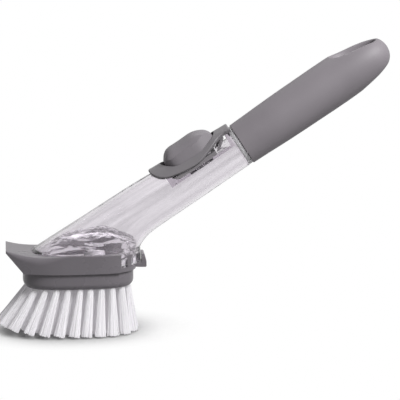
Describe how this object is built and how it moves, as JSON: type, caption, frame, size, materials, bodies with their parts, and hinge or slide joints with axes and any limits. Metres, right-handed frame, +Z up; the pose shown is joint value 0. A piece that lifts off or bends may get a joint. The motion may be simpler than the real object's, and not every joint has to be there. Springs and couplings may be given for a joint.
{
  "type": "dish wand",
  "caption": "Soap dispensing dish wand: splayed white bristle head in a scraper collar, clear refillable reservoir tube with a push button pump, and a screw-off grey grip with a hang hole.",
  "frame": {"origin": "the end of the middle bristle tuft, on the plane that the brush stands on", "axes": "+Z up from the bristle ends, +X from the scraper nose towards the handle, Y across; the wand is the same on both sides of Y = 0"},
  "size_m": [0.2442, 0.0532, 0.179],
  "materials": {
    "clear_plastic": "clear moulded plastic, glossy",
    "clear_silicone": "translucent silicone",
    "white_silicone": "milky silicone, satin",
    "white_plastic": "white moulded plastic",
    "bezel_grey": "warm grey moulded plastic, satin",
    "button_grey": "warm grey soft-touch cap, matt",
    "handle_grey": "warm grey soft-touch plastic, matt",
    "plug_grey": "grey moulded plastic",
    "head_grey": "darker warm grey moulded plastic, satin",
    "bristle_nylon": "white nylon filaments, slightly see-through",
    "anchor_wire": "bright flat wire"
  },
  "bodies": {
    "reservoir": {"reservoir_tube": "clear_plastic", "base_plate": "clear_plastic", "outlet_valve": "white_silicone", "valve_retainer": "white_plastic", "outlet_o_ring": "white_silicone", "button_bezel": "bezel_grey", "pump_diaphragm": "white_silicone", "pump_frame": "bezel_grey"},
    "button": {"press_button": "button_grey"},
    "gasket": {"neck_gasket": "clear_silicone"},
    "handle": {"handle_grip": "handle_grey", "handle_plug": "plug_grey"},
    "head": {"scraper_collar": "head_grey", "bristle_block": "head_grey", "bristles_outer": "bristle_nylon", "bristles_middle": "bristle_nylon", "bristles_inner": "bristle_nylon", "tuft_anchors": "anchor_wire"},
    "latch": {"release_latch": "head_grey"}
  },
  "joints": [
    {"name": "button_press", "type": "slide", "parent": "reservoir", "child": "button", "axis": [0.5446, 0, -0.8387], "range_m": [0, 0.003], "stiffness_N_per_m": 1500, "deforming": ["pump_diaphragm"]},
    {"name": "handle_rise", "type": "slide", "parent": "reservoir", "child": "gasket", "axis": [0.8387, 0, 0.5446], "range_m": [0, 0.01]},
    {"name": "handle_turn", "type": "hinge", "parent": "gasket", "child": "handle", "pos_m": [0.102, 0, 0.1145], "axis": [0.8387, 0, 0.5446], "range_deg": [0, 721]},
    {"name": "head_pull", "type": "slide", "parent": "reservoir", "child": "head", "axis": [0, 0, -1], "range_m": [0, 0.025]},
    {"name": "latch_flex", "type": "hinge", "parent": "head", "child": "latch", "pos_m": [0.0336, 0, 0.04075], "axis": [0, 1, 0], "range_deg": [0, 8], "stiffness_Nm_per_rad": 0.08}
  ],
  "couplings": [
    {"joint": "handle_turn", "follows": "handle_rise", "rad_per_m": 1256.6}
  ]
}
